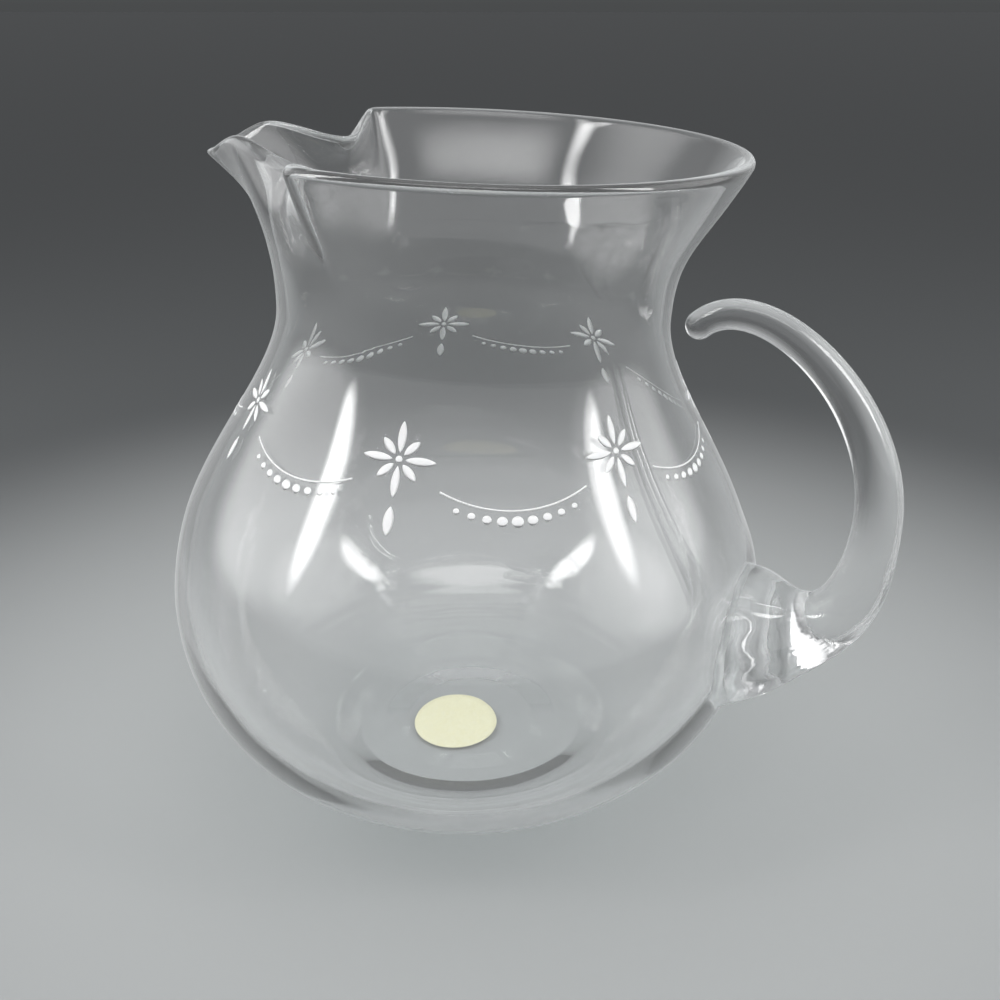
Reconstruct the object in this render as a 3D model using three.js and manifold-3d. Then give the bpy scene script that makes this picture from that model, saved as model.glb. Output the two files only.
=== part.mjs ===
// Blown glass water pitcher with a pinched ice lip and an open hook handle.
// Millimetres, +Z up, table at Z = 0. The spout points along -X, the handle roughly along +X.
import * as THREE from "three";
import { mergeVertices } from "three/addons/utils/BufferGeometryUtils.js";
import Module from "manifold-3d";

// Vessel, outside
const foot_r = 34; // edge of the ring that stands on the table
const foot_rise = 16.5; // slope of the wall where it leaves the table, degrees
const belly_r = 82;
const belly_h = 57.5;
const neck_r = 50.3;
const neck_h = 136.5;
const rim_r = 65.5;
const rim_h = 177;
const rim_rise = 63.5; // slope of the flared wall at the rim, degrees

// Fullness of the curves, as shares of the height or width they span
const foot_full = 0.48;
const floor_full = 0.28;
const belly_full_low = 0.62;
const belly_full_high = 0.4;
const neck_full_low = 0.27;
const neck_full_high = 0.46;
const rim_full = 0.52;

// Glass thickness
const belly_wall = 2.4;
const neck_wall = 2.6;
const rim_bead = 3; // fire-polished edge
const floor_thick = 6;
const floor_r = 40; // flat middle of the floor

// Ground hollow under the base
const ring_wide = 7; // ring left standing around it
const hollow_deep = 1.4;
const hollow_bevel = 8; // width of the slope at its edge

// Upper body leans toward the handle
const lean = 2.6; // degrees
const lean_low = 67; // height where the lean begins
const lean_high = 84; // height where it is complete

// Spout and ice lip, measured in plan from the axis of the vessel
const spout_r = 67; // reach of the tip
const pinch_x = 36; // cross walls of the ice lip
const pinch_gap = 52; // opening left between the two pinches
const spout_taper = 0.85; // below 1 the spout's sides draw in faster near the tip
const tip_round = 3; // degrees each side of the tip that are rounded off
const ear_round = 3.5; // softness of the outer corners in plan
const pinch_round = 7; // softness of the pinches in plan
const tip_drop = 5.5;
const tip_spread = 16; // degrees each side of the tip
const pinch_drop = 4.7;
const pinch_spread = 24; // degrees each side of a pinch
const throat_draw = 2.2; // hollow drawn in under the tip
const throat_h = 163;
const throat_tall = 15; // above and below that height
const throat_spread = 30; // degrees each side of the tip
const lip_low = 132; // height where the wall starts to leave its round shape
const lip_fade = 3; // how fast the folds grow toward the rim

// Handle: path in its own upright plane, as distance from the axis and height
const handle_turn = 22.5; // degrees off the line through the spout, toward -Y
const tip_gap = 5.5; // free gap between the hook's tip and the neck
const tip_up = 0.9; // tip above the narrowest part of the neck
const tip_aim = 43.5; // degrees up from level
const tip_pull = 19.3;
const bow_out = 26.9; // outermost point beyond the belly
const bow_h = 94.3;
const bow_pull_up = 30.4;
const bow_pull_down = 40.4;
const root_in = 10.1; // end of the path inside the belly
const root_down = 3; // and below its widest part
const root_aim = 28.6; // degrees up from level
const root_pull = 17.6;
const root_sink = 10; // how far the stock runs on before it is trimmed to the wall
const rod_wide = 1.06; // width of the stock over its depth
const pad_wide = 1.34; // the same at the pad

// Handle stock: diameter along the path
const tip_d = 6.8;
const crest_d = 8;
const upper_d = 10.4;
const lower_d = 13;
const waist_d = 18.9;
const flare_d = 32;
const pad_d = 35.5;
const crest_at = 0.2;
const upper_at = 0.45;
const lower_at = 0.65;
const waist_at = 0.8;
const flare_at = 0.9;
const pad_gap = 0.3; // between the pad and the wall it sits on

// Round paper label in the hollow
const label_d = 25.4;
const label_thick = 0.2;
const label_x = -4.5;
const label_y = -2.6;

// Mesh fineness
const around = 84;
const wall_steps = 9; // for each stretch of the wall
const bead_steps = 4;
const label_around = 40;
const crowd = 0.5; // share by which the segments close up at the spout
const rod_around = 32;
const rod_along = 36;
const tip_steps = 3; // over the rounded end of the hook

const wasm = await Module();
wasm.setup();

const rad = THREE.MathUtils.degToRad;
const pt = (x, y) => new THREE.Vector2(x, y);
const aim = (deg, length) => pt(Math.cos(rad(deg)) * length, Math.sin(rad(deg)) * length);
const bump = (x) => (Math.abs(x) < 1 ? Math.cos((x * Math.PI) / 2) ** 2 : 0);

// Smaller of two lengths, blended where they differ by less than k
function softMin(a, b, k) {
  return Math.min(a, b) - Math.max(k - Math.abs(a - b), 0) ** 2 / (4 * k);
}

// Closed solid from a three.js geometry
function solid(geometry) {
  const bare = geometry.clone();
  bare.deleteAttribute("normal");
  bare.deleteAttribute("uv");
  const welded = mergeVertices(bare, 1e-4);
  const index = welded.index.array;
  const tris = [];
  for (let i = 0; i < index.length; i += 3) {
    const [a, b, c] = [index[i], index[i + 1], index[i + 2]];
    if (a !== b && b !== c && c !== a) tris.push(a, b, c);
  }
  const mesh = new wasm.Mesh({
    numProp: 3,
    vertProperties: new Float32Array(welded.attributes.position.array),
    triVerts: new Uint32Array(tris),
  });
  return new wasm.Manifold(mesh);
}

function geometryOf(manifold) {
  const mesh = manifold.getMesh();
  const geometry = new THREE.BufferGeometry();
  geometry.setAttribute("position", new THREE.BufferAttribute(new Float32Array(mesh.vertProperties), 3));
  geometry.setIndex(new THREE.BufferAttribute(new Uint32Array(mesh.triVerts), 1));
  geometry.computeVertexNormals();
  return geometry;
}

function reshape(geometry, move) {
  const position = geometry.attributes.position;
  const v = new THREE.Vector3();
  for (let i = 0; i < position.count; i++) {
    v.fromBufferAttribute(position, i);
    move(v);
    position.setXYZ(i, v.x, v.y, v.z);
  }
  return geometry;
}

// Wall curve from its low end over belly and neck to the rim; leave steers it away from the low end
function wallCurve(low, leave, belly, neck, rim) {
  const drop = belly_full_low * (belly.y - low.y);
  const rise = neck.y - belly.y;
  const flare = rim_h - neck_h;
  const spread = aim(rim_rise, rim_full * flare);
  const stretches = [
    [low, leave, pt(belly.x, belly.y - drop), belly],
    [belly, pt(belly.x, belly.y + belly_full_high * rise), pt(neck.x, neck.y - neck_full_low * rise), neck],
    [neck, pt(neck.x, neck.y + neck_full_high * flare), rim.clone().sub(spread), rim],
  ];
  const points = [low];
  for (const ends of stretches) {
    points.push(...new THREE.CubicBezierCurve(...ends).getPoints(wall_steps).slice(1));
  }
  return points;
}

const bead = pt(rim_r - rim_bead / 2, rim_h - rim_bead / 2);
const beadPoint = (deg) => bead.clone().add(aim(rim_rise + deg, rim_bead / 2));

// Outer face of the vessel, moved out by grow
function outside(grow) {
  const low = pt(foot_r + grow, 0);
  const leave = low.clone().add(aim(foot_rise, foot_full * (belly_r - foot_r)));
  return wallCurve(low, leave, pt(belly_r + grow, belly_h), pt(neck_r + grow, neck_h), beadPoint(-90));
}

function inside() {
  const low = pt(floor_r, floor_thick);
  const belly = pt(belly_r - belly_wall, belly_h);
  const leave = pt(floor_r + floor_full * (belly.x - floor_r), floor_thick);
  return wallCurve(low, leave, belly, pt(neck_r - neck_wall, neck_h), beadPoint(90));
}

function vesselProfile() {
  const hollow_r = foot_r - ring_wide;
  const beadArc = [];
  for (let i = 1; i < bead_steps; i++) {
    beadArc.push(beadPoint(-90 + (180 * i) / bead_steps));
  }
  return [
    pt(0, hollow_deep),
    pt(hollow_r - hollow_bevel, hollow_deep),
    pt(hollow_r, 0),
    ...outside(0),
    ...beadArc,
    ...inside().reverse(),
    pt(0, floor_thick),
  ];
}

const pinchAngle = Math.atan2(pinch_gap / 2, pinch_x);
const pinchReach = Math.hypot(pinch_gap / 2, pinch_x);

// Reach of the lip at an angle from the spout
function lipReach(angle) {
  const soft = rad(tip_round);
  const off = (Math.hypot(angle, soft) - soft) / pinchAngle;
  const side = spout_r - (spout_r - pinchReach) * off ** spout_taper;
  const cross = Math.abs(angle) < Math.PI / 2 ? pinch_x / Math.cos(angle) : Infinity;
  return -softMin(-side, -softMin(rim_r, cross, ear_round), pinch_round);
}

// Fall of the lip below the rim at an angle from the spout
function lipFall(angle) {
  const off = Math.abs(angle);
  return tip_drop * bump(off / rad(tip_spread)) + pinch_drop * bump((off - pinchAngle) / rad(pinch_spread));
}

function foldLip(v) {
  if (v.z <= lip_low) return;
  const angle = Math.atan2(v.y, -v.x);
  const r = Math.hypot(v.x, v.y);
  const grow = Math.min((v.z - lip_low) / (rim_h - lip_low), 1) ** lip_fade;
  const draw = throat_draw * bump((v.z - throat_h) / throat_tall) * bump(angle / rad(throat_spread));
  const reach = (r + grow * (lipReach(angle) - rim_r) - draw) / r;
  v.set(v.x * reach, v.y * reach, v.z - grow * lipFall(angle));
}

const handleDir = pt(Math.cos(rad(-handle_turn)), Math.sin(rad(-handle_turn)));

function leanOver(v) {
  if (v.z <= lean_low) return;
  const tilt = rad(lean) * THREE.MathUtils.smoothstep(v.z, lean_low, lean_high);
  const along = v.x * handleDir.x + v.y * handleDir.y;
  const up = v.z - lean_low;
  const moved = along * Math.cos(tilt) + up * Math.sin(tilt) - along;
  v.set(
    v.x + moved * handleDir.x,
    v.y + moved * handleDir.y,
    lean_low + up * Math.cos(tilt) - along * Math.sin(tilt),
  );
}

// Turn a profile about Z, with the segments closer together near the spout
function turned(profile) {
  const geometry = new THREE.LatheGeometry(profile, around).rotateX(Math.PI / 2);
  return reshape(geometry, (v) => {
    const r = Math.hypot(v.x, v.y);
    const even = Math.atan2(v.y, -v.x);
    const angle = even - crowd * Math.sin(even);
    v.set(-r * Math.cos(angle), r * Math.sin(angle), v.z);
  });
}

function makeBody() {
  const geometry = turned(vesselProfile());
  reshape(geometry, foldLip);
  reshape(geometry, leanOver);
  return solid(geometry);
}

// Everything inside the outer face of the vessel, plus the gap under the handle's pad
function makeTrim() {
  const profile = [pt(0, 0), ...outside(pad_gap), pt(0, rim_h)];
  return solid(reshape(turned(profile), leanOver));
}

function makeHandle() {
  const tip_h = neck_h + tip_up;
  const neckFace = neck_r + Math.sin(rad(lean)) * (tip_h - lean_low);
  const tip = pt(neckFace + tip_gap + tip_d / 2, tip_h);
  const bow = pt(belly_r + bow_out, bow_h);
  const root = pt(belly_r - root_in, belly_h - root_down);
  const sunk = root.clone().sub(aim(root_aim, root_sink));
  const path = new THREE.CurvePath();
  const overTip = tip.clone().add(aim(tip_aim, tip_pull));
  path.add(new THREE.CubicBezierCurve(tip, overTip, pt(bow.x, bow.y + bow_pull_up), bow));
  const toPad = root.clone().add(aim(root_aim, root_pull));
  path.add(new THREE.CubicBezierCurve(bow, pt(bow.x, bow.y - bow_pull_down), toPad, root));
  const toRoot = path.getLength();
  path.add(new THREE.LineCurve(root, sunk));
  path.updateArcLengths();
  const length = path.getLength();

  const stock = new THREE.SplineCurve([
    pt(0, tip_d / 2),
    pt(crest_at * toRoot, crest_d / 2),
    pt(upper_at * toRoot, upper_d / 2),
    pt(lower_at * toRoot, lower_d / 2),
    pt(waist_at * toRoot, waist_d / 2),
    pt(flare_at * toRoot, flare_d / 2),
    pt(toRoot, pad_d / 2),
    pt(length, pad_d / 2),
  ]).getPoints(rod_along);
  const profile = [pt(0, -tip_d / 2)];
  for (let i = 1; i < tip_steps; i++) {
    profile.push(aim(-90 + (90 * i) / tip_steps, tip_d / 2));
  }
  profile.push(...stock.map((p) => pt(p.y, p.x)), pt(0, length));

  const geometry = new THREE.LatheGeometry(profile, rod_around);
  reshape(geometry, (v) => {
    const share = Math.min(Math.max(v.y / length, 0), 1);
    const place = path.getPointAt(share);
    const along = path.getTangentAt(share);
    const past = v.y - share * length;
    const reach = place.x + along.x * past - along.y * v.x;
    const height = place.y + along.y * past + along.x * v.x;
    const spread = THREE.MathUtils.smoothstep(v.y, waist_at * toRoot, toRoot);
    const side = v.z * THREE.MathUtils.lerp(rod_wide, pad_wide, spread);
    v.set(
      reach * handleDir.x - side * handleDir.y,
      reach * handleDir.y + side * handleDir.x,
      height,
    );
  });
  return solid(geometry).subtract(makeTrim());
}

function makeLabel() {
  const disc = new THREE.CylinderGeometry(label_d / 2, label_d / 2, label_thick, label_around);
  disc.rotateX(Math.PI / 2);
  disc.translate(label_x, label_y, hollow_deep - label_thick / 2);
  return solid(disc);
}

const glass = { color: 0xe6efec, roughness: 0.03, metalness: 0, transparent: true, opacity: 0.4 };
const group = new THREE.Group();

function add(name, shape, look) {
  const mesh = new THREE.Mesh(geometryOf(shape), new THREE.MeshStandardMaterial(look));
  mesh.name = name;
  group.add(mesh);
}

add("body", makeBody(), glass);
add("handle", makeHandle(), glass);
add("label", makeLabel(), { color: 0xe9e3b4, roughness: 0.8, metalness: 0 });

// Origin under the middle of the whole object
const box = new THREE.Box3().setFromObject(group);
const middle = box.getCenter(new THREE.Vector3());
for (const mesh of group.children) {
  mesh.geometry.translate(-middle.x, -middle.y, -box.min.z);
}

export default group;
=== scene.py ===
"""Clear blown glass pitcher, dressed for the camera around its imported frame.

The vessel, handle, cuts and label are in millimetres until a mesh is made, then in metres.
The table, lamps and camera are in metres throughout.
"""
import math

import bpy
import numpy as np
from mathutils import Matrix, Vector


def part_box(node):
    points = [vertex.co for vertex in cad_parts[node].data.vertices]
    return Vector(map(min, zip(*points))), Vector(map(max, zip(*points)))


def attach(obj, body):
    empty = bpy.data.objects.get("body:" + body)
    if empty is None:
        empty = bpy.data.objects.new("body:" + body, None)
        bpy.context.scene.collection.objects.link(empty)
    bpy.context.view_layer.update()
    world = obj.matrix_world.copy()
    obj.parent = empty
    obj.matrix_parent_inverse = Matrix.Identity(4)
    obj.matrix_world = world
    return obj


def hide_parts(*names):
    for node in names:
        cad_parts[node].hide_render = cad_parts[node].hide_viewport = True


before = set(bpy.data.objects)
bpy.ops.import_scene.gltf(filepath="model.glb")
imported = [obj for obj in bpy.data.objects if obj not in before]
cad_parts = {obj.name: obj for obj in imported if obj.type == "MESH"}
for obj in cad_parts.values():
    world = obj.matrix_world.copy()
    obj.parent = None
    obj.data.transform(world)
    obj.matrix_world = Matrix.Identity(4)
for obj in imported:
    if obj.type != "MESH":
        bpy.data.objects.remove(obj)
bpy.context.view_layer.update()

# Vessel, outside
FOOT_R = 34.0
FOOT_RISE = 16.5
BELLY_R = 82.0
BELLY_H = 57.5
NECK_R = 50.3
NECK_H = 136.5
RIM_R = 65.5
RIM_H = 177.0
RIM_RISE = 63.5
FOOT_FULL = 0.48
FLOOR_FULL = 0.28
BELLY_FULL_LOW = 0.62
BELLY_FULL_HIGH = 0.4
NECK_FULL_LOW = 0.27
NECK_FULL_HIGH = 0.46
RIM_FULL = 0.52

# Glass thickness and the hollow under the base
BELLY_WALL = 2.4
NECK_WALL = 2.6
RIM_BEAD = 3.0
FLOOR_THICK = 6.0
FLOOR_R = 40.0
RING_WIDE = 7.0
HOLLOW_DEEP = 1.4
HOLLOW_BEVEL = 8.0
HOLLOW_ROUND = 0.5
EDGE_ROUND = 0.6
MIDDLE_R = 2.0  # smallest ring of points around the middle of the base

# Marks of blowing and turning on the inner face
SWELL = 0.12
SWELL_FULL_H = 30.0
SWELL_FADE_H = 140.0
BASE_RIPPLE = 0.10  # rings left by turning, where the floor rises into the wall
RIPPLE_STEP = 4.2
RIPPLE_IN = (0.3, 3.0)  # above the floor
RIPPLE_OUT = (16.0, 32.0)

# Lean of the upper body toward the handle
LEAN = 2.6
LEAN_LOW = 67.0
LEAN_HIGH = 84.0

# Spout and ice lip
SPOUT_R = 67.0
PINCH_X = 36.0
PINCH_GAP = 52.0
SPOUT_TAPER = 0.85
TIP_ROUND = 3.0
EAR_ROUND = 3.5
PINCH_ROUND = 7.0
TIP_DROP = 5.5
TIP_SPREAD = 16.0
PINCH_DROP = 4.7
PINCH_SPREAD = 24.0
THROAT_DRAW = 2.2
THROAT_H = 163.0
THROAT_TALL = 15.0
THROAT_SPREAD = 30.0
LIP_LOW = 132.0
LIP_FADE = 3.0

# Handle; STOCK holds diameters at shares of the way from the tip to the root
HANDLE_TURN = 22.5
TIP_GAP = 5.5
TIP_UP = 0.9
TIP_AIM = 43.5
TIP_PULL = 19.3
BOW_OUT = 26.9
BOW_H = 94.3
BOW_PULL_UP = 30.4
BOW_PULL_DOWN = 40.4
ROOT_IN = 10.1
ROOT_DOWN = 3.0
ROOT_AIM = 28.6
ROOT_PULL = 17.6
ROOT_SINK = 16.0
ROD_WIDE = 1.06
PAD_WIDE = 1.34
PAD_FROM = 0.8
STOCK = (
    (0.0, 6.8), (0.2, 8.0), (0.45, 10.4), (0.65, 13.0), (0.8, 18.9), (0.9, 32.0), (1.0, 35.5),
)
PAD_SET = 1.0  # how deep the pad is fused into the wall
CRIMPS = 11  # tool marks around the pad
CRIMP_DEEP = 0.012
CRIMP_FROM = 0.78
CRIMP_FULL = 0.92
CRIMP_TURN = 0.4

# Band of frosted cuts on the shoulder
REPEATS = 7
BAND_H = 116.0
BAND_TURN = -0.22
CUT_EDGE = 0.02
CUT_PROUD = 0.01
CUT_HIGH = 0.07
STAR_RAYS = 8
STAR_GAP = 1.5
STAR_LONG = 7.0
STAR_SHORT = 4.6
STAR_WIDE = 1.9
STAR_EYE = 1.6
DROP_GAP = 10.5
DROP_LONG = 6.5
DROP_WIDE = 2.4
SWAG_SAG = 10.0
SWAG_FROM = 0.19
SWAG_LINE = 0.22
BEADS = 9
BEAD_FROM = 0.26
BEAD_STEP = 0.06
BEAD_D = 2.5
BEAD_LESS = 0.3
BEAD_HANG = 2.4

LABEL_D = 25.4
LABEL_THICK = 0.2
LABEL_X = -4.5
LABEL_Y = -2.6
LABEL_EDGE = 0.06
LABEL_GLUE = 0.01

# Stage
TABLE_HALF = 40.0
TABLE_LOW = -0.0002
LAMP_AIM = (0, 0, 0.09)
# name, place, size, strength
LAMPS = (
    ("overhead_softbox", (0.0, 0.1, 1.1), (1.2, 1.2), 0.7),
    ("left_softbox", (-0.55, 0.0, 0.34), (0.9, 0.8), 1.5),
    ("right_softbox", (0.6, 0.0, 0.34), (0.9, 0.8), 1.5),
    ("left_strip", (-0.42, -0.22, 0.42), (0.12, 0.6), 11.0),
    ("right_strip", (0.46, -0.18, 0.42), (0.12, 0.6), 11.0),
    ("top_strip", (0.0, -0.3, 0.75), (0.8, 0.3), 3.0),
)
CAMERA_LENS = 37.8
CAMERA_PLACE = (0.0088, -0.2680, 0.2057)
CAMERA_DOWN = 0.44
CAMERA_TURN = 2.5

# The vessel's axis in the frame of the whole object
AXIS_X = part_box("body")[0].x * 1000 + BELLY_R


def srgb(text):
    """Linear colour of an sRGB hex code."""
    parts = [int(text[i:i + 2], 16) / 255 for i in (0, 2, 4)]
    linear = [c / 12.92 if c <= 0.04045 else ((c + 0.055) / 1.055) ** 2.4 for c in parts]
    return linear + [1.0]


def xy(x, y):
    return np.array([x, y], float)


def aim(deg, length):
    return xy(math.cos(math.radians(deg)), math.sin(math.radians(deg))) * length


def bump(x):
    return np.where(np.abs(x) < 1, np.cos(np.clip(x, -1, 1) * np.pi / 2) ** 2, 0.0)


def smoothstep(x, low, high):
    t = np.clip((x - low) / (high - low), 0, 1)
    return t * t * (3 - 2 * t)


def soft_min(a, b, k):
    return np.minimum(a, b) - np.maximum(k - np.abs(a - b), 0) ** 2 / (4 * k)


def run_length(points):
    """Distance gone at each point of a line."""
    step = np.linalg.norm(np.diff(points, axis=0), axis=1)
    return np.concatenate([[0], np.cumsum(step)])


def bezier(a, b, c, d, steps):
    t = np.linspace(0, 1, steps + 1)[:, None]
    return (1 - t) ** 3 * a + 3 * (1 - t) ** 2 * t * b + 3 * (1 - t) * t ** 2 * c + t ** 3 * d


def rounded(before, corner, after, r):
    """Short curve that takes the edge off a corner."""
    a = corner + (before - corner) / np.linalg.norm(before - corner) * r
    b = corner + (after - corner) / np.linalg.norm(after - corner) * r
    t = np.linspace(0, 1, 7)[:, None]
    return (1 - t) ** 2 * a + 2 * (1 - t) * t * corner + t ** 2 * b


def wall_curve(low, leave, belly, neck, rim, steps):
    """One face of the wall, from the base over belly and neck to the rim."""
    drop = BELLY_FULL_LOW * (belly[1] - low[1])
    rise = neck[1] - belly[1]
    flare = RIM_H - NECK_H
    spread = aim(RIM_RISE, RIM_FULL * flare)
    stretches = (
        (low, leave, belly - xy(0, drop), belly),
        (belly, belly + xy(0, BELLY_FULL_HIGH * rise), neck - xy(0, NECK_FULL_LOW * rise), neck),
        (neck, neck + xy(0, NECK_FULL_HIGH * flare), rim - spread, rim),
    )
    points = [low[None]]
    for ends in stretches:
        points.append(bezier(*ends, steps)[1:])
    return np.vstack(points)


def bead_point(deg):
    middle = xy(RIM_R - RIM_BEAD / 2, RIM_H - RIM_BEAD / 2)
    return middle + aim(RIM_RISE + deg, RIM_BEAD / 2)


def outside(steps=44):
    low = xy(FOOT_R, 0)
    leave = low + aim(FOOT_RISE, FOOT_FULL * (BELLY_R - FOOT_R))
    belly = xy(BELLY_R, BELLY_H)
    return wall_curve(low, leave, belly, xy(NECK_R, NECK_H), bead_point(-90), steps)


def inside(steps=44):
    low = xy(FLOOR_R, FLOOR_THICK)
    belly = xy(BELLY_R - BELLY_WALL, BELLY_H)
    leave = low + xy(FLOOR_FULL * (belly[0] - FLOOR_R), 0)
    return wall_curve(low, leave, belly, xy(NECK_R - NECK_WALL, NECK_H), bead_point(90), steps)


PINCH_ANGLE = math.atan2(PINCH_GAP / 2, PINCH_X)
PINCH_REACH = math.hypot(PINCH_GAP / 2, PINCH_X)
TURN = math.radians(HANDLE_TURN)
HANDLE_DIR = xy(math.cos(TURN), -math.sin(TURN))


def lip_reach(angle):
    """Radius of the rim at an angle from the spout."""
    soft = math.radians(TIP_ROUND)
    off = (np.hypot(angle, soft) - soft) / PINCH_ANGLE
    side = SPOUT_R - (SPOUT_R - PINCH_REACH) * off ** SPOUT_TAPER
    ahead = np.maximum(np.cos(angle), 1e-3)
    cross = PINCH_X / ahead
    return -soft_min(-side, -soft_min(RIM_R, cross, EAR_ROUND), PINCH_ROUND)


def lip_fall(angle):
    """Dip of the rim at an angle from the spout."""
    off = np.abs(angle)
    tip = TIP_DROP * bump(off / math.radians(TIP_SPREAD))
    return tip + PINCH_DROP * bump((off - PINCH_ANGLE) / math.radians(PINCH_SPREAD))


def fold_lip(p):
    """Draw the spout and its pinches out of a round rim."""
    angle = np.arctan2(p[:, 1], -p[:, 0])
    r = np.maximum(np.hypot(p[:, 0], p[:, 1]), 1e-6)
    grow = np.clip((p[:, 2] - LIP_LOW) / (RIM_H - LIP_LOW), 0, 1) ** LIP_FADE
    ahead = bump(angle / math.radians(THROAT_SPREAD))
    draw = THROAT_DRAW * bump((p[:, 2] - THROAT_H) / THROAT_TALL) * ahead
    reach = (r + grow * (lip_reach(angle) - RIM_R) - draw) / r
    return np.column_stack([p[:, 0] * reach, p[:, 1] * reach, p[:, 2] - grow * lip_fall(angle)])


def lean_over(p):
    """Tilt what is above the belly toward the handle."""
    tilt = math.radians(LEAN) * smoothstep(p[:, 2], LEAN_LOW, LEAN_HIGH)
    along = p[:, :2] @ HANDLE_DIR
    up = p[:, 2] - LEAN_LOW
    moved = along * np.cos(tilt) + up * np.sin(tilt) - along
    leaned = np.column_stack([
        p[:, 0] + moved * HANDLE_DIR[0],
        p[:, 1] + moved * HANDLE_DIR[1],
        LEAN_LOW + up * np.cos(tilt) - along * np.sin(tilt),
    ])
    return np.where(p[:, 2:3] > LEAN_LOW, leaned, p)


def new_object(name, points, faces, material):
    mesh = bpy.data.meshes.new(name)
    mesh.from_pydata(points, [], faces)
    mesh.materials.append(material)
    piece = bpy.data.objects.new(name, mesh)
    bpy.context.scene.collection.objects.link(piece)
    return piece


def make_piece(name, points, faces, node, material):
    """Smooth mesh object from points in millimetres about the vessel's axis."""
    piece = new_object(name, ((points + [AXIS_X, 0, 0]) / 1000).tolist(), faces, material)
    piece.data.polygons.foreach_set("use_smooth", [True] * len(piece.data.polygons))
    piece.data.update()
    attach(piece, "root")
    if node:
        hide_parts(node)
    return piece


def ring_faces(rings, around):
    """Quads between rings of points."""
    faces = []
    for j in range(rings - 1):
        a = j * around
        for i in range(around):
            n = (i + 1) % around
            faces.append((a + i, a + n, a + around + n, a + around + i))
    return faces


def closed_faces(rings, around):
    """Quads between rings, and fans to the two end points that follow the last ring."""
    faces = ring_faces(rings, around)
    end, last = rings * around, (rings - 1) * around
    for i in range(around):
        n = (i + 1) % around
        faces.append((end, n, i))
        faces.append((end + 1, last + i, last + n))
    return [f[::-1] for f in faces]


def add(tree, kind, settings=None, **links):
    """One shader node with its settings, its input values and its input links."""
    node = tree.nodes.new("ShaderNode" + kind)
    for key, value in (settings or {}).items():
        if hasattr(node, key):
            setattr(node, key, value)
        else:
            node.inputs[key].default_value = value
    for key, socket in links.items():
        tree.links.new(socket, node.inputs[key.replace("_", " ")])
    return node


def colour_ramp(tree, fac, low, high, blend="LINEAR"):
    """Colour that goes from one position and hex code to another."""
    node = add(tree, "ValToRGB", Fac=fac)
    node.color_ramp.interpolation = blend
    for element, (position, text) in zip(node.color_ramp.elements, (low, high)):
        element.position = position
        element.color = srgb(text)
    return node.outputs["Color"]


def larger(tree, a, b):
    node = add(tree, "Math", {"operation": "MAXIMUM"})
    tree.links.new(a, node.inputs[0])
    tree.links.new(b, node.inputs[1])
    return node.outputs["Value"]


def mix(tree, fac, a, b):
    node = add(tree, "MixShader", Fac=fac)
    tree.links.new(a, node.inputs[1])
    tree.links.new(b, node.inputs[2])
    return node.outputs["Shader"]


def new_material(name):
    material = bpy.data.materials.new(name)
    material.use_nodes = True
    tree = material.node_tree
    tree.nodes.clear()
    return material, tree


def finish_glass(tree, normal):
    """Clear glass, hazy at glancing angles, that lets lamp light through to what is behind."""
    glass = add(tree, "BsdfPrincipled", {
        "Base Color": srgb("fefefe"), "Roughness": 0.0, "IOR": 1.51, "Transmission Weight": 0.97,
    }, Normal=normal)
    facing = add(tree, "LayerWeight", {"Blend": 0.35}).outputs["Facing"]
    haze = add(tree, "MapRange", {"From Min": 0.45, "From Max": 1.0, "To Max": 0.5}, Value=facing)
    film = add(tree, "BsdfDiffuse", {"Color": srgb("f2f4f4")})
    filmed = mix(tree, haze.outputs["Result"], glass.outputs["BSDF"], film.outputs["BSDF"])
    shade = colour_ramp(tree, facing, (0.0, "feffff"), (1.0, "dcdede"))
    through = add(tree, "BsdfTransparent", Color=shade)
    ray = add(tree, "LightPath")
    lit = larger(tree, ray.outputs["Is Shadow Ray"], ray.outputs["Is Diffuse Ray"])
    add(tree, "OutputMaterial", Surface=mix(tree, lit, filmed, through.outputs["BSDF"]))


def blown_glass():
    """Colourless soda glass; slow swells left by blowing bend what shows through it."""
    material, tree = new_material("clear_soda_glass_blown_and_fire_polished")
    place = add(tree, "TexCoord").outputs["Object"]
    swell = add(tree, "TexNoise", {"Scale": 38.0, "Detail": 1.0, "Roughness": 0.4}, Vector=place)
    dent = add(tree, "Bump", {"Strength": 0.25, "Distance": 0.0004}, Height=swell.outputs["Fac"])
    finish_glass(tree, dent.outputs["Normal"])
    return material


def drawn_glass():
    """The same glass drawn out into a rod; fine streaks run along its length."""
    material, tree = new_material("clear_soda_glass_drawn_rod")
    place = add(tree, "UVMap").outputs["UV"]
    stretch = add(tree, "Mapping", {"Scale": (26.0, 1.2, 1.0)}, Vector=place).outputs["Vector"]
    streak = add(tree, "TexNoise", {"Scale": 1.0, "Detail": 2.0, "Roughness": 0.5}, Vector=stretch)
    dent = add(tree, "Bump", {"Strength": 0.25, "Distance": 0.0004}, Height=streak.outputs["Fac"])
    finish_glass(tree, dent.outputs["Normal"])
    return material


def frosted_cut():
    """Glass left rough and white by a cutting wheel, with the wheel's fine grain."""
    material, tree = new_material("wheel_cut_frosted_glass")
    place = add(tree, "TexCoord").outputs["Object"]
    grain = add(tree, "TexNoise", {"Scale": 2600.0, "Detail": 2.0}, Vector=place)
    tooth = add(tree, "Bump", {"Strength": 0.4, "Distance": 0.00004}, Height=grain.outputs["Fac"])
    glass = add(tree, "BsdfPrincipled", {
        "Base Color": srgb("ffffff"), "Roughness": 0.6, "IOR": 1.51, "Transmission Weight": 0.15,
    }, Normal=tooth.outputs["Normal"])
    add(tree, "OutputMaterial", Surface=glass.outputs["BSDF"])
    return material


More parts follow.
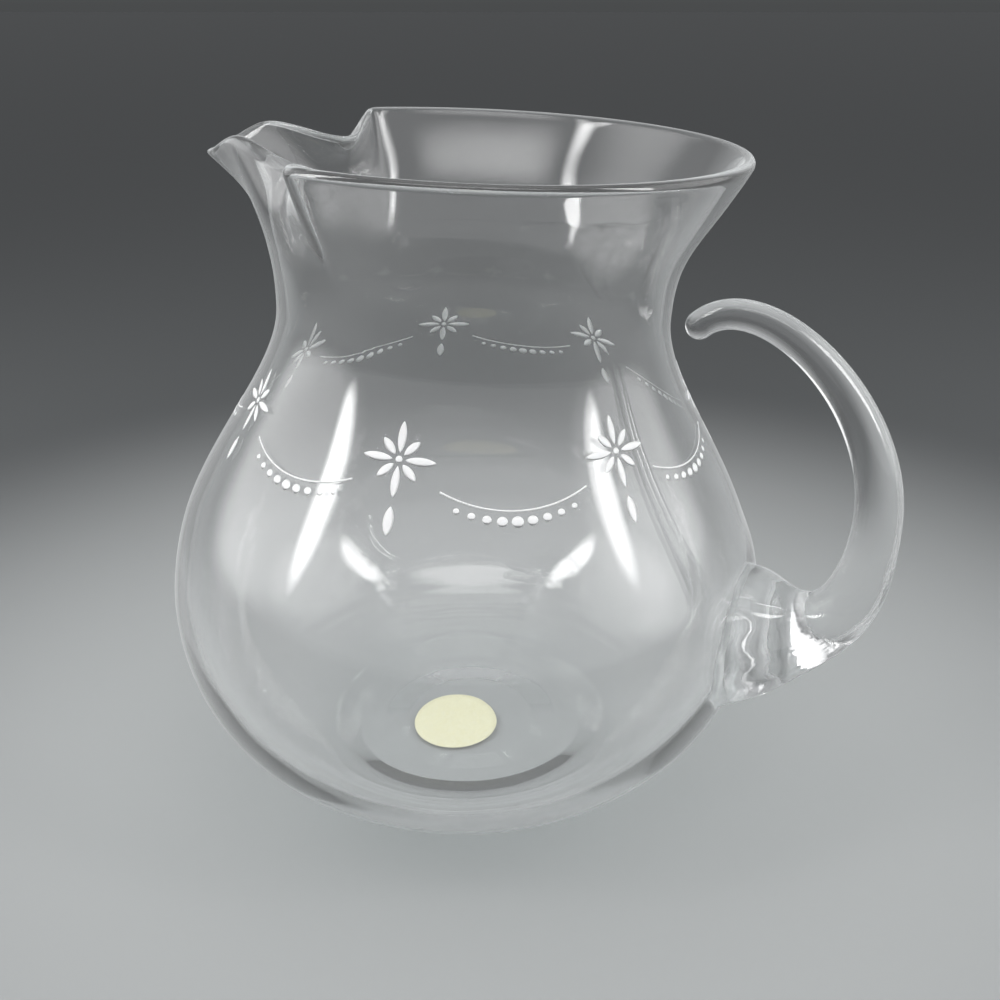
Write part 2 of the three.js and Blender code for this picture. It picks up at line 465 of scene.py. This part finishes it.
def label_paper():
    """Uncoated pale yellow paper with faint fibres."""
    material, tree = new_material("uncoated_label_paper")
    place = add(tree, "TexCoord").outputs["Object"]
    fibre = add(tree, "TexNoise", {"Scale": 1800.0, "Detail": 3.0}, Vector=place).outputs["Fac"]
    tone = colour_ramp(tree, fibre, (0.3, "f2ebbb"), (0.7, "fdf8d6"))
    tooth = add(tree, "Bump", {"Strength": 0.3, "Distance": 0.00005}, Height=fibre)
    paper = add(
        tree, "BsdfPrincipled", {"Roughness": 0.85},
        Base_Color=tone, Normal=tooth.outputs["Normal"],
    )
    add(tree, "OutputMaterial", Surface=paper.outputs["BSDF"])
    return material


def make_vessel(material):
    around = 288
    crowd = 0.5  # draws the points together toward the spout
    edge_steps = 3  # first steps of the outer face, which the rounded edge replaces
    hollow = xy(FOOT_R - RING_WIDE - HOLLOW_BEVEL, HOLLOW_DEEP)
    ring_in = xy(FOOT_R - RING_WIDE, 0)
    ring_out = xy(FOOT_R, 0)
    outer = outside()
    bead = np.array([bead_point(deg) for deg in np.linspace(-90, 90, 15)[1:-1]])
    base = [
        np.array([xy(r, HOLLOW_DEEP) for r in np.linspace(MIDDLE_R, hollow[0] - MIDDLE_R, 8)]),
        rounded(xy(0, HOLLOW_DEEP), hollow, ring_in, HOLLOW_ROUND),
        rounded(hollow, ring_in, ring_out, HOLLOW_ROUND),
        rounded(ring_in, ring_out, outer[edge_steps], EDGE_ROUND),
    ]
    floor = np.array([xy(r, FLOOR_THICK) for r in np.linspace(FLOOR_R, MIDDLE_R, 16)[1:]])
    inner = inside()[::-1]
    profile = np.vstack([*base, outer[edge_steps:], bead, inner, floor])
    even = np.linspace(-np.pi, np.pi, around, endpoint=False)
    r = np.repeat(profile[:, 0], around)
    z = np.repeat(profile[:, 1], around)
    turn = np.tile(even - crowd * np.sin(even), len(profile))

    inner_from = (len(profile) - len(inner) - len(floor)) * around
    wave = np.sin(3 * turn + z / 19 + 0.6) * np.sin(z / 13 + 1.1)
    wave = wave + 0.6 * np.sin(5 * turn - z / 27 + 2.0)
    wave[:inner_from] = 0
    wave *= smoothstep(z, FLOOR_THICK, SWELL_FULL_H) * (1 - smoothstep(z, SWELL_FADE_H, RIM_H))
    r = r + SWELL * wave
    ripple = smoothstep(z, FLOOR_THICK + RIPPLE_IN[0], FLOOR_THICK + RIPPLE_IN[1])
    ripple = ripple * (1 - smoothstep(z, *RIPPLE_OUT))
    ripple[:inner_from] = 0
    z = z + BASE_RIPPLE * ripple * np.sin(2 * np.pi * r / RIPPLE_STEP)

    points = np.column_stack([-r * np.cos(turn), r * np.sin(turn), z])
    points = lean_over(fold_lip(points))
    points = np.vstack([points, [[0, 0, HOLLOW_DEEP], [0, 0, FLOOR_THICK]]])
    faces = closed_faces(len(profile), around)
    make_piece("blown_vessel", points, faces, "body", material)


def wall_radius(z):
    """Radius of the outer face at a height, before the lean."""
    curve = outside(120)
    return np.interp(z, curve[:, 1], curve[:, 0])


def handle_path():
    """Points along the rod's middle, as distance from the axis and height, and its length."""
    tip_h = NECK_H + TIP_UP
    neck_face = NECK_R + math.sin(math.radians(LEAN)) * (tip_h - LEAN_LOW)
    tip = xy(neck_face + TIP_GAP + STOCK[0][1] / 2, tip_h)
    bow = xy(BELLY_R + BOW_OUT, BOW_H)
    root = xy(BELLY_R - ROOT_IN, BELLY_H - ROOT_DOWN)
    upper = bezier(tip, tip + aim(TIP_AIM, TIP_PULL), bow + xy(0, BOW_PULL_UP), bow, 400)
    lower = bezier(bow, bow - xy(0, BOW_PULL_DOWN), root + aim(ROOT_AIM, ROOT_PULL), root, 400)
    to_root = np.vstack([upper, lower[1:]])
    length = np.linalg.norm(np.diff(to_root, axis=0), axis=1).sum()
    sunk = np.linspace(0, 1, 60)[1:, None] * -aim(ROOT_AIM, ROOT_SINK) + root
    return np.vstack([to_root, sunk]), length


def catmull(xs, ys, at):
    """Smooth curve through the stock's sizes."""
    slope = np.gradient(ys, xs)
    i = np.clip(np.searchsorted(xs, at) - 1, 0, len(xs) - 2)
    h = xs[i + 1] - xs[i]
    t = (at - xs[i]) / h
    a = (1 + 2 * t) * (1 - t) ** 2
    b = t * (1 - t) ** 2
    c = t * t * (3 - 2 * t)
    d = t * t * (t - 1)
    return a * ys[i] + b * h * slope[i] + c * ys[i + 1] + d * h * slope[i + 1]


def make_handle(material):
    around = 72
    kept_rings = 200  # rings that stay where they are, after those of the tip
    pad_rings = 120
    path, to_root = handle_path()
    run = run_length(path)
    tangent = np.gradient(path, run, axis=0)
    tangent /= np.linalg.norm(tangent, axis=1)[:, None]
    stock_at = np.array([s for s, _ in STOCK] + [run[-1] / to_root]) * to_root
    stock_r = np.array([d for _, d in STOCK] + [STOCK[-1][1]]) / 2

    cap = np.radians(np.linspace(-90, 0, 12)[1:-1])
    rod = np.linspace(0, run[-1], 330)
    along = np.concatenate([stock_r[0] * np.sin(cap), rod])
    radius = np.concatenate([stock_r[0] * np.cos(cap), catmull(stock_at, stock_r, rod)])
    clamped = np.clip(along, 0, run[-1])
    place = np.column_stack([np.interp(clamped, run, path[:, k]) for k in (0, 1)])
    heading = np.column_stack([np.interp(clamped, run, tangent[:, k]) for k in (0, 1)])
    place = place + heading * (along - clamped)[:, None]
    wide = ROD_WIDE + (PAD_WIDE - ROD_WIDE) * smoothstep(along, PAD_FROM * to_root, to_root)

    theta = np.linspace(0, 2 * np.pi, around, endpoint=False)
    crimp = smoothstep(along, CRIMP_FROM * to_root, CRIMP_FULL * to_root)[:, None]
    ribs = 1 + CRIMP_DEEP * crimp * np.cos(CRIMPS * theta + CRIMP_TURN)
    ribbed = radius[:, None] * ribs
    side = ribbed * np.sin(theta) * wide[:, None]
    out = ribbed * np.cos(theta)
    reach = place[:, 0:1] - heading[:, 1:2] * out
    height = place[:, 1:2] + heading[:, 0:1] * out
    x = reach * HANDLE_DIR[0] - side * HANDLE_DIR[1]
    y = reach * HANDLE_DIR[1] + side * HANDLE_DIR[0]
    grid = np.stack([x, y, height], axis=2)

    # Each line of the rod ends where it meets the wall
    deep = np.hypot(x, y) - wall_radius(height) + PAD_SET
    lower_part = along > 0.6 * to_root
    keep = len(cap) + kept_rings
    lines = []
    for i in range(around):
        in_wall = np.nonzero((deep[:, i] < 0) & lower_part)[0]
        end = in_wall[0] if len(in_wall) else len(along) - 1
        a, b = deep[end - 1, i], deep[end, i]
        meet = grid[end - 1, i] + (grid[end, i] - grid[end - 1, i]) * (a / (a - b))
        line = np.vstack([grid[:end, i], meet])
        gone = run_length(line)
        shared = np.linspace(gone[keep - 1], gone[-1], pad_rings + 1)[1:]
        at = np.concatenate([gone[:keep], shared])
        lines.append(np.column_stack([np.interp(at, gone, line[:, k]) for k in range(3)]))
    rings = np.stack(lines, axis=1)
    count = len(rings)
    front = grid[0].mean(0) - np.append(HANDLE_DIR * heading[0, 0], heading[0, 1]) * 0.05
    points = np.vstack([rings.reshape(-1, 3), front, rings[-1].mean(0)])
    faces = closed_faces(count, around)
    piece = make_piece("applied_hook_handle", points, faces, "handle", material)
    layer = piece.data.uv_layers.new(name="UVMap")
    for loop in piece.data.loops:
        v = loop.vertex_index
        layer.data[loop.index].uv = ((v % around) / around, (v // around) / count)


def shoulder_point(a, s):
    """Point on the outer face, from its angle off the front and its way up from the band."""
    curve = outside(160)
    gone = run_length(curve)
    up = np.interp(BAND_H, curve[:, 1], gone) + s
    r = np.interp(up, gone, curve[:, 0])
    z = np.interp(up, gone, curve[:, 1])
    return lean_over(np.column_stack([r * np.sin(a), -r * np.cos(a), z]))


def cut(a, s, half):
    """Closed sliver along a line of angles and heights, with its half width at each point."""
    place = shoulder_point(a, s)
    right = shoulder_point(a + 1e-3, s) - shoulder_point(a - 1e-3, s)
    up = shoulder_point(a, s + 0.05) - shoulder_point(a, s - 0.05)
    out = np.cross(right, up)
    out /= np.linalg.norm(out, axis=1)[:, None]
    ahead = np.gradient(place, axis=0)
    side = np.cross(out, ahead)
    side /= np.linalg.norm(side, axis=1)[:, None]
    rows = []
    for c, lift in ((-1, 0.0), (-0.5, 0.75), (0, 1.0), (0.5, 0.75), (1, 0.0), (0, -0.7)):
        rows.append(place + side * (half * c)[:, None] + out * (CUT_PROUD + CUT_HIGH * lift))
    points = np.stack(rows, axis=1).reshape(-1, 3)
    across, n = len(rows), len(place)
    faces = [f[::-1] for f in ring_faces(n, across)]
    faces.append(tuple(range(across)))
    faces.append(tuple(range((n - 1) * across, n * across))[::-1])
    return points, faces


def swag(f):
    """Height of the swag at a share of the way between two stars."""
    return -SWAG_SAG * (1 - ((f - 0.5) / 0.5) ** 2)


def make_cuts(material):
    """Swags of beads between eight-pointed stars, a plain old border."""
    r = float(wall_radius(np.array([BAND_H]))[0])
    t = np.linspace(-1, 1, 15)
    almond = np.maximum(1 - t * t, 0) ** 0.8
    disc = np.sqrt(np.maximum(1 - t * t, 0))
    found = []

    def ray(a0, s0, turn, start, length, wide, shape):
        along = start + (t + 1) / 2 * length
        a = a0 + along * math.cos(turn) / r
        found.append(cut(a, s0 + along * math.sin(turn), wide / 2 * shape + CUT_EDGE))

    step = 2 * math.pi / REPEATS
    for k in range(REPEATS):
        a0 = BAND_TURN + k * step
        for i in range(STAR_RAYS):
            length = STAR_LONG if i % 2 == 0 else STAR_SHORT
            ray(a0, 0.0, i * 2 * math.pi / STAR_RAYS, STAR_GAP, length, STAR_WIDE, almond)
        ray(a0, 0.0, 0.0, -STAR_EYE / 2, STAR_EYE, STAR_EYE, disc)
        ray(a0, 0.0, -math.pi / 2, DROP_GAP, DROP_LONG, DROP_WIDE, almond)
        far = np.linspace(SWAG_FROM, 1 - SWAG_FROM, 60)
        found.append(cut(a0 + far * step, swag(far), np.full(60, SWAG_LINE)))
        for i in range(BEADS):
            f = BEAD_FROM + BEAD_STEP * i
            d = BEAD_D - BEAD_LESS * abs(i - BEADS // 2)
            ray(a0 + f * step, swag(f) - BEAD_HANG, 0.0, -d / 2, d, d, disc)
    points, faces, count = [], [], 0
    for p, f in found:
        points.append(p)
        faces += [tuple(i + count for i in face) for face in f]
        count += len(p)
    make_piece("frosted_cut_border", np.vstack(points), faces, None, material)


def make_label(material):
    around = 96
    r = LABEL_D / 2
    top = HOLLOW_DEEP - LABEL_GLUE
    low = top - LABEL_THICK
    rows = [
        (r - 2, top), (r - LABEL_EDGE, top), (r, top - LABEL_EDGE),
        (r, low + LABEL_EDGE), (r - LABEL_EDGE, low), (r - 2, low),
    ]
    theta = np.linspace(0, 2 * np.pi, around, endpoint=False)
    x, y = np.cos(theta), np.sin(theta)
    points = [
        np.column_stack([LABEL_X + q * x, LABEL_Y + q * y, np.full(around, z)]) for q, z in rows
    ]
    points = np.vstack(points + [[[LABEL_X, LABEL_Y, top], [LABEL_X, LABEL_Y, low]]])
    faces = closed_faces(len(rows), around)
    make_piece("round_paper_label", points, faces, "label", material)


def show_stage(name, w, h, z, material):
    """Flat rectangle of the stage, from its half width and half height."""
    corners = [(-w, -h, z), (w, -h, z), (w, h, z), (-w, h, z)]
    piece = new_object(name, corners, [(0, 1, 2, 3)], material)
    return piece


def round_fade(tree, place, scale):
    """Value that falls from 1 in the middle to 0 at a distance."""
    near = add(tree, "Mapping", {"Scale": scale}, Vector=place)
    fade = add(
        tree, "TexGradient", {"gradient_type": "SPHERICAL"}, Vector=near.outputs["Vector"],
    )
    return fade.outputs["Fac"]


def make_table():
    """Matt table with a painted pool of light: pale grey near the object and darker away from it,
    so that clear glass stands out from it.
    """
    material, tree = new_material("matt_grey_table_with_painted_light_pool")
    place = add(tree, "NewGeometry").outputs["Position"]
    fade = round_fade(tree, place, (1.85, 1.85, 0.0))
    # painted pool of light: the colour goes from dark grey far out to pale grey near the object
    tone = colour_ramp(tree, fade, (0.34, "4a4c4d"), (0.8, "9c9e9e"), "EASE")
    surface = add(tree, "BsdfPrincipled", {"Roughness": 0.7}, Base_Color=tone)
    add(tree, "OutputMaterial", Surface=surface.outputs["BSDF"])
    show_stage("table", TABLE_HALF, TABLE_HALF, TABLE_LOW, material)


def make_panel(name, place, size, strength):
    """Softbox whose light falls off toward its edges; unseen by the camera, seen in the glass."""
    material, tree = new_material(name + "_cloth")
    spot = add(tree, "TexCoord").outputs["Object"]
    fade = round_fade(tree, spot, (2 / size[0], 2 / size[1], 0.0))
    tone = colour_ramp(tree, fade, (0.0, "000000"), (0.5, "ffffff"), "EASE")
    glow = add(tree, "Emission", {"Strength": strength}, Color=tone)
    clear = add(tree, "BsdfTransparent")
    both = add(tree, "AddShader")
    tree.links.new(glow.outputs["Emission"], both.inputs[0])
    tree.links.new(clear.outputs["BSDF"], both.inputs[1])
    add(tree, "OutputMaterial", Surface=both.outputs["Shader"])
    panel = show_stage(name, size[0] / 2, size[1] / 2, 0, material)
    panel.location = place
    away = np.array(place) - np.array(LAMP_AIM)
    panel.rotation_euler = (
        math.atan2(math.hypot(away[0], away[1]), away[2]), 0, math.atan2(away[0], -away[1]),
    )
    panel.visible_camera = False


def make_light():
    """Softboxes around the object, in a room that is brighter above and toward the camera."""
    for lamp in LAMPS:
        make_panel(*lamp)
    world = bpy.data.worlds.new("soft_studio")
    world.use_nodes = True
    tree = world.node_tree
    tree.nodes.clear()
    parts = add(tree, "SeparateXYZ", Vector=add(tree, "TexCoord").outputs["Generated"])
    front = add(tree, "MapRange", {"From Min": 0.7, "From Max": -0.3}, Value=parts.outputs["Y"])
    open_side = larger(tree, parts.outputs["Z"], front.outputs["Result"])
    tone = colour_ramp(tree, open_side, (0.0, "5f6162"), (0.6, "e6e8ea"))
    room = add(tree, "Background", {"Strength": 0.6}, Color=tone)
    add(tree, "OutputWorld", Surface=room.outputs["Background"])
    bpy.context.scene.world = world


def make_camera():
    data = bpy.data.cameras.new("camera")
    data.sensor_width = 36.0
    data.lens = CAMERA_LENS
    camera = bpy.data.objects.new("camera", data)
    camera.location = CAMERA_PLACE
    camera.rotation_euler = (math.pi / 2 - CAMERA_DOWN, 0, math.radians(CAMERA_TURN))
    bpy.context.scene.collection.objects.link(camera)
    bpy.context.scene.camera = camera


make_camera()
make_vessel(blown_glass())
make_handle(drawn_glass())
make_cuts(frosted_cut())
make_label(label_paper())
make_table()
make_light()
bpy.context.scene.view_settings.view_transform = "Standard"
